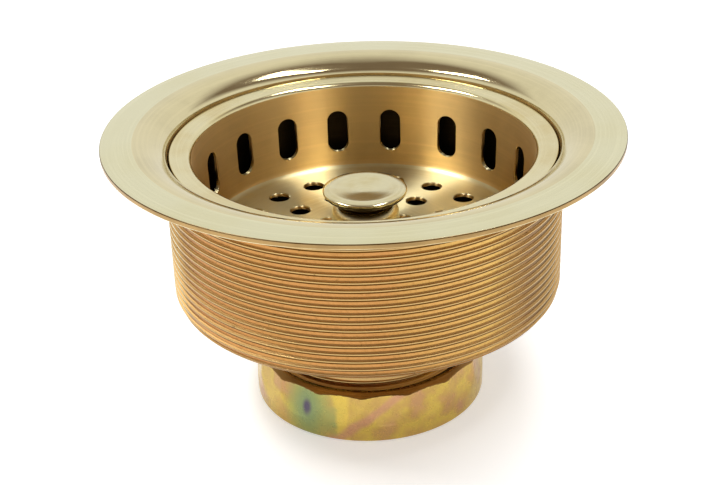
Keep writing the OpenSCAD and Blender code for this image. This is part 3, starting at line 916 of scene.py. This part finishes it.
def flared_plug(radius, roll):
    """A round punch whose end flares, so that it rolls the edge of the hole that it cuts."""
    return [
        (0, 3 * MM), (radius + roll + 2.4 * MM, 3 * MM), (radius + roll, 0.25 * MM),
        (radius + 0.55 * roll, -0.15 * roll), (radius + 0.2 * roll, -0.55 * roll),
        (radius + 0.04 * roll, -roll), (radius, -1.5 * roll), (radius, -6 * MM), (0, -6 * MM),
    ]


class DRAIN_OT_basket(bpy.types.Operator):
    """Press the basket from one sheet and pierce its slots and holes"""

    bl_idname = "drain.basket"
    bl_label = "Basket"

    def execute(self, context):
        s = context.scene.drain_basket
        look = context.scene.drain_finish
        mouth_r = s.rim_r - s.rim_w
        base_r = mouth_r - s.taper
        lip_depth = s.rim_depth + s.rim_dish
        wall_top = lip_depth + s.lip_r
        corner_depth = s.depth - s.corner_r
        lean = math.degrees(math.atan(s.taper / (s.depth - wall_top)))
        lip_x = mouth_r + s.lip_r
        floor_x = base_r - s.corner_r
        mid = s.depth - s.crown
        edge = 0.25 * MM

        def floor_line(below, steps):
            return [
                (floor_x + (s.flat_r - floor_x) * i / 8, TOP - s.depth - below + s.crown * cosine(i, 8))
                for i in steps
            ]

        def rim_line(below, steps):
            reach = s.rim_r - edge - lip_x
            return [
                (lip_x + reach * i / 8, TOP - lip_depth - below + s.rim_dish * (i / 8) ** 1.5) for i in steps
            ]

        outline = (
            arc(s.rim_r - edge, s.rim_depth + edge, edge, 0, 85, 4)
            + rim_line(0, range(7, 0, -1))
            + arc(lip_x, wall_top, s.lip_r, 90, 180 - lean, 12)
            + arc(floor_x, corner_depth, s.corner_r, -lean, -90, 8)
            + floor_line(0, range(1, 8))
            + down((s.flat_r, mid), (s.shoulder_r, mid), (s.shoulder_r, mid + s.sheet), (s.flat_r, mid + s.sheet))
            + floor_line(s.sheet, range(7, 0, -1))
            + arc(floor_x, corner_depth, s.corner_r + s.sheet, -90, -lean, 8)
            + arc(lip_x, wall_top, s.lip_r - s.sheet, 180 - lean, 90, 8)
            + rim_line(s.sheet, range(1, 8))
            + arc(s.rim_r - edge, s.rim_depth + s.sheet - edge, edge, -85, 0, 3)
        )
        piece = turn("pressed_basket", outline + outline[:1])

        slot_high = s.rim_depth + s.slot_drop
        slot_low = s.depth - s.slot_rise
        half = s.slot_w / 2
        drawn = slot_low - slot_high - s.slot_w
        drop = slot_low - half - wall_top
        slope = s.taper / (s.depth - wall_top)
        slots = turn("slots", flared_plug(half, s.slot_roll), 40)
        slots.rotation_euler.y = -math.pi / 2
        slots.location = (mouth_r - slope * drop, 0, TOP - slot_low + half)
        only(slots)
        bpy.ops.object.transform_apply(location=True, rotation=True)
        centre = TOP - slot_low + half
        for vertex in slots.data.vertices:
            if vertex.co.z > centre + MERGE:
                vertex.co += Vector((drawn * slope, 0, drawn))
        repeat(slots, s.slots, s.slot_turn, (TAU - s.slot_gap) / s.slots)

        cutters = [slots]
        for ring, start in enumerate((s.turn_a, s.turn_b, s.turn_c)):
            radius = s.inner_ring + ring * s.ring_step
            rise = s.crown * cosine((floor_x - radius) / (floor_x - s.flat_r), 1)
            holes = turn("holes", flared_plug(s.hole_r, s.hole_roll), 32)
            holes.location = (radius, 0, TOP - s.depth + rise)
            only(holes)
            bpy.ops.object.transform_apply(location=True)
            count = 6 * (ring + 1)
            cutters.append(repeat(holes, count, start, TAU / count))
        only(slots)
        for other in cutters[1:]:
            other.select_set(True)
        bpy.ops.object.join()
        edit(slots, face_out)
        cut(piece, slots)
        smooth(piece, 28)
        dull = [c * f for c, f in zip(look.basket, (0.9, 0.82, 0.66))]
        put(
            piece,
            lathed_brass("brushed_basket", look.basket, dull, (0.33, 0.4), 9000.0, 0.05, 60.0, 1.0),
            lathed_brass("basket_wall", look.wall, [c * 0.85 for c in look.wall], (0.34, 0.4), 7000.0, 0.025, 60.0, 1.0),
            lathed_brass("dull_basket", look.inside, [c * 0.7 for c in look.inside], (0.35, 0.5), 5000.0, 0.18),
            lathed_brass("satin_rim", look.basket, dull, (0.13, 0.2), 9000.0, 0.03, 60.0),
        )

        def zone(centre, normal):
            depth = TOP - centre.z
            if depth < lip_depth + 0.75 * s.lip_r and normal.z > -0.2:
                return 3
            if normal.z > 0.5:
                return 0
            outward = normal.x * centre.x + normal.y * centre.y > 0
            return 2 if normal.z < -0.5 or outward and depth > lip_depth + s.sheet else 1

        paint_faces(piece, zone)
        settle(piece, "basket", "basket_brass", "basket_cup")
        return {"FINISHED"}


class DRAIN_OT_knob(bpy.types.Operator):
    """Turn the basket's knob"""

    bl_idname = "drain.knob"
    bl_label = "Knob"

    def execute(self, context):
        s = context.scene.drain_basket
        look = context.scene.drain_finish
        top, base = KNOB_HIGH.z, KNOB_LOW.z
        depth = TOP - top
        neck = depth + s.cap_t + 0.9 * MM
        bell = 2.2 * MM
        small = 0.3 * MM
        tip = depth + s.cap_t + MM
        under_x = s.waist_r + 2.4 * MM
        quarter = [math.pi / 2 * i / 8 for i in range(9)]
        under = [
            (under_x + (s.knob_r - under_x) * math.sin(a), depth + s.cap_t - (s.cap_t - s.edge_h) * (1 - math.cos(a)))
            for a in quarter
        ]
        rim = [
            (s.crest_r + (s.knob_r - s.crest_r) * math.cos(a), depth + s.edge_h * (1 - math.sin(a)))
            for a in quarter[1:]
        ]
        dish = []
        for i in range(15, -1, -1):
            x = s.crest_r * i / 16
            fall = (s.crest_r - math.hypot(x, 1.3 * MM)) * math.tan(s.dish)
            dish.append((x, depth - soft_min(-fall, 0, 0.2 * MM)))
        outline = (
            [(0, TOP - tip), (s.tip_r, TOP - tip), (s.tip_r, base + small), (s.tip_r + small, base)]
            + [(s.foot_r - small, base), (s.foot_r, base + small)]
            + arc(s.foot_r - 0.2 * MM - bell, neck + 0.7 * MM + bell, bell, 5, 75, 10)
            + down((s.waist_r + 0.12 * MM, neck + 0.75 * MM), (s.waist_r, neck + 0.4 * MM))
            + down((s.waist_r + 0.05 * MM, neck - 0.1 * MM), (s.waist_r + 0.35 * MM, neck - 0.45 * MM))
            + down((s.waist_r + 1.2 * MM, depth + s.cap_t + 0.12 * MM))
            + down(*under, *rim, *dish)
        )
        piece = turn("turned_knob", outline, 128)
        smooth(piece, 32)
        dull = [c * f for c, f in zip(look.knob, (0.92, 0.86, 0.72))]
        # Tarnish and painted shade: the waist under the cap is painted nearly black.
        dark = [c * 0.15 for c in look.inside]
        put(
            piece,
            lathed_brass("turned_knob", look.knob, dull, (0.14, 0.22), 11000.0, 0.05, 120.0),
            lathed_brass("knob_foot", look.knob, dull, (0.3, 0.36), 9000.0, 0.05, 120.0),
            lathed_brass("tarnish_and_painted_shade_neck", dark, [c * 0.5 for c in dark], (0.4, 0.5), 3000.0, 0.2, 700.0),
        )

        def zone(centre, normal):
            below = TOP - depth - centre.z
            if below < s.edge_h + 0.2 * MM or normal.z > 0.9 and math.hypot(centre.x, centre.y) < s.crest_r:
                return 0
            return 2 if TOP - centre.z < neck + 0.85 * MM else 1

        paint_faces(piece, zone)
        settle(piece, "stem", "knob_brass", "basket_knob")
        return {"FINISHED"}


class DRAIN_OT_stopper(bpy.types.Operator):
    """Give the stem, the rubber, the plates and the washer their finishes"""

    bl_idname = "drain.stopper"
    bl_label = "Stem and stopper"

    def execute(self, context):
        look = context.scene.drain_finish
        brass = lathed_brass(
            "stem_brass", look.stem, [c * 0.75 for c in look.stem], (0.2, 0.36), 8000.0, 0.15, 150.0
        )
        rubber = plain_paint("rubber", look.rubber, 0.62, 2600.0, 0.25, 0.0, 1.6)
        plastic = plain_paint("washer_plastic", look.washer, 0.45, 1500.0, 0.08)
        for names, material in (
            (("stopper_stem", "seal_upper_plate", "seal_lower_plate", "stem_nut"), brass),
            (("stopper_seal",), rubber),
            (("tailpiece_washer",), plastic),
        ):
            for name in names:
                put(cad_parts[name], material)
        return {"FINISHED"}


class DRAIN_OT_catch(bpy.types.Operator):
    """Wind the catch's spring and finish its balls"""

    bl_idname = "drain.catch"
    bl_label = "Ball catch"

    def execute(self, context):
        look = context.scene.drain_finish
        steel = plain_paint("bright_steel", look.steel, 0.16, 6000.0, 0.04, 1.0, 0.9)
        for name in ("detent_ball_left", "detent_ball_right"):
            put(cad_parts[name], steel)
        low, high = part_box("detent_spring")
        wire = 0.175 * MM
        coil_r = (high.z - low.z) / 2 - wire
        middle = (low.z + high.z) / 2
        turns = 2.5
        ring = [
            (coil_r + wire * math.cos(TAU * i / 10), wire * math.sin(TAU * i / 10)) for i in range(11)
        ]
        for side, turn_by in (("left", 0), ("right", math.pi)):
            piece = trace("catch_spring_" + side, ring)
            edit(piece, weld)
            use(
                piece, "SCREW", axis="Z", angle=TAU * turns, steps=80, render_steps=80,
                screw_offset=high.x - wire,
            )
            only(piece)
            bpy.ops.object.mode_set(mode="EDIT")
            bpy.ops.mesh.select_mode(type="EDGE")
            bpy.ops.mesh.select_all(action="SELECT")
            weld()
            bpy.ops.mesh.select_all(action="DESELECT")
            bm = bmesh.from_edit_mesh(piece.data)
            for line in bm.edges:
                line.select_set(line.is_boundary)
            bmesh.update_edit_mesh(piece.data)
            bpy.ops.mesh.fill()
            bpy.ops.mesh.select_mode(type="VERT")
            face_out()
            bpy.ops.object.mode_set(mode="OBJECT")
            piece.rotation_euler.y = math.pi / 2
            piece.location = (low.x + wire, 0, middle)
            only(piece)
            bpy.ops.object.transform_apply(location=True, rotation=True)
            turned(piece, turn_by)
            smooth(piece, 50)
            put(piece, steel)
            settle(piece, "stem", "catch_steel", "detent_spring")
            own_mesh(piece)
        return {"FINISHED"}


class DRAIN_OT_stage(bpy.types.Operator):
    """Lay the floor, hang the lamps and set the camera"""

    bl_idname = "drain.stage"
    bl_label = "Stage"

    def execute(self, context):
        scene = context.scene
        scene.view_settings.view_transform = "Standard"

        clear_selection()
        bpy.ops.mesh.primitive_plane_add(size=6, location=(0, 0, -0.0002))
        floor = context.object
        floor.name = floor.data.name = "floor"
        paint = Paint("pale_floor", 0.0)
        point = paint.place()[0]
        grain = paint.noise(point, 40.0, 3.0, 0.5)
        paint.shader.inputs["Roughness"].default_value = 0.8
        paint.shader.inputs["Base Color"].default_value = (0.82, 0.82, 0.82, 1)
        path = paint.add("LightPath")
        seen = paint.math("MAXIMUM", path.outputs["Is Camera Ray"], path.outputs["Is Glossy Ray"])
        seen = paint.math("MAXIMUM", seen, path.outputs["Is Transmission Ray"])
        paint.tree.links.new(paint.math("MULTIPLY", seen, 0.45), paint.shader.inputs["Emission Strength"])
        paint.shader.inputs["Emission Color"].default_value = (1, 1, 1, 1)
        put(floor, paint.material)

        world = bpy.data.worlds.new("studio")
        scene.world = world
        world.use_nodes = True
        nodes, links = world.node_tree.nodes, world.node_tree.links
        room = nodes["Background"]
        def value(kind, *inputs, **settings):
            node = nodes.new("ShaderNode" + kind)
            for key, setting in settings.items():
                setattr(node, key, setting)
            for socket, item in zip((i for i in node.inputs if i.enabled), inputs):
                if isinstance(item, bpy.types.NodeSocket):
                    links.new(item, socket)
                else:
                    socket.default_value = item
            return [output for output in node.outputs if output.enabled]

        def blend(factor, a, b):
            return value("Mix", factor, a, b, data_type="RGBA")[0]

        path = nodes.new("ShaderNodeLightPath").outputs
        mirrored = value("Math", path["Is Glossy Ray"], path["Is Transmission Ray"], operation="MAXIMUM")[0]
        ray = nodes.new("ShaderNodeTexCoord").outputs["Generated"]
        height = value("Math", value("SeparateXYZ", ray)[2], operation="ARCSINE")[0]
        level = value("VectorMath", ray, (1, 1, 0), operation="MULTIPLY")[0]
        behind = value("SeparateXYZ", value("VectorMath", level, operation="NORMALIZE")[0])[1]
        edges = []
        for back, side, front in zip(BACKDROP, SIDE_WALL, FRONT_WALL):
            edge = value("MapRange", behind, 0.6, 0.95, math.radians(side), math.radians(back))[0]
            edges.append(value("MapRange", behind, -0.9, -0.3, math.radians(front), edge)[0])
        climbed = value("MapRange", height, edges[0], edges[1], 0.0, 1.0)[0]
        white = (1, 1, 1, 1)
        studio = blend(climbed, white, ROOM)
        lit = blend(mirrored, (FILL, FILL, FILL, 1), studio)
        links.new(blend(path["Is Camera Ray"], lit, white), room.inputs["Color"])

        for name, place, size, power in (
            ("lamp_right", (0.215, -0.05, 0.64), (0.09, 0.42), 2.4),
            ("lamp_left", (-0.37, 0.0, 0.62), (0.11, 0.34), 3.2),
        ):
            bpy.ops.object.light_add(type="AREA", location=place)
            lamp = context.object
            lamp.name = name
            lamp.data.shape = "RECTANGLE"
            lamp.data.size, lamp.data.size_y = size
            lamp.data.energy = power

        pitch, yaw, roll = math.radians(26.915), math.radians(-0.109), math.radians(-1.784)
        ahead = Vector((math.sin(yaw) * math.cos(pitch), math.cos(yaw) * math.cos(pitch), -math.sin(pitch)))
        right = ahead.cross(Vector((0, 0, 1))).normalized()
        up = right.cross(ahead)
        tilted = right * math.cos(roll) + up * math.sin(roll)
        raised = up * math.cos(roll) - right * math.sin(roll)
        turned = Matrix((tilted, raised, -ahead)).transposed()
        bpy.ops.object.camera_add(location=(0, -0.28755, 0.18238), rotation=turned.to_euler())
        camera = context.object
        camera.name = "camera"
        camera.data.lens = 69.98
        camera.data.sensor_width = 36
        camera.data.clip_start = 0.01
        scene.camera = camera
        return {"FINISHED"}


PIECES = (
    DRAIN_OT_body, DRAIN_OT_web, DRAIN_OT_nut, DRAIN_OT_basket, DRAIN_OT_knob, DRAIN_OT_stopper,
    DRAIN_OT_catch, DRAIN_OT_stage,
)


class DRAIN_PT_sidebar(bpy.types.Panel):
    """Sizes, colours and the steps that build the drain"""

    bl_idname = "DRAIN_PT_sidebar"
    bl_label = "Kitchen Sink Drain"
    bl_space_type = "VIEW_3D"
    bl_region_type = "UI"
    bl_category = "Sink Drain"

    def draw(self, context):
        layout = self.layout
        for step in PIECES:
            layout.operator(step.bl_idname)
        for group in (context.scene.drain_body, context.scene.drain_nut, context.scene.drain_basket):
            box = layout.box()
            for name in group.bl_rna.properties.keys():
                if name not in ("rna_type", "name"):
                    box.prop(group, name)
        box = layout.box()
        for name in context.scene.drain_finish.bl_rna.properties.keys():
            if name not in ("rna_type", "name"):
                box.prop(context.scene.drain_finish, name)


GROUPS = {
    "drain_body": BodySizes, "drain_nut": NutSizes, "drain_basket": BasketSizes, "drain_finish": Finish,
}


def register():
    """Add the sizes, the steps and the panel to Blender."""
    for group in GROUPS.values():
        bpy.utils.register_class(group)
    for name, group in GROUPS.items():
        setattr(bpy.types.Scene, name, PointerProperty(type=group))
    for step in PIECES:
        bpy.utils.register_class(step)
    bpy.utils.register_class(DRAIN_PT_sidebar)


def unregister():
    """Take them away again."""
    bpy.utils.unregister_class(DRAIN_PT_sidebar)
    for step in reversed(PIECES):
        bpy.utils.unregister_class(step)
    for name in GROUPS:
        delattr(bpy.types.Scene, name)
    for group in reversed(GROUPS.values()):
        bpy.utils.unregister_class(group)


def main():
    """Build every piece and the stage."""
    register()
    bpy.ops.drain.body()
    bpy.ops.drain.web()
    bpy.ops.drain.nut()
    bpy.ops.drain.basket()
    bpy.ops.drain.knob()
    bpy.ops.drain.stopper()
    bpy.ops.drain.catch()
    bpy.ops.drain.stage()


if __name__ == "__main__":
    main()
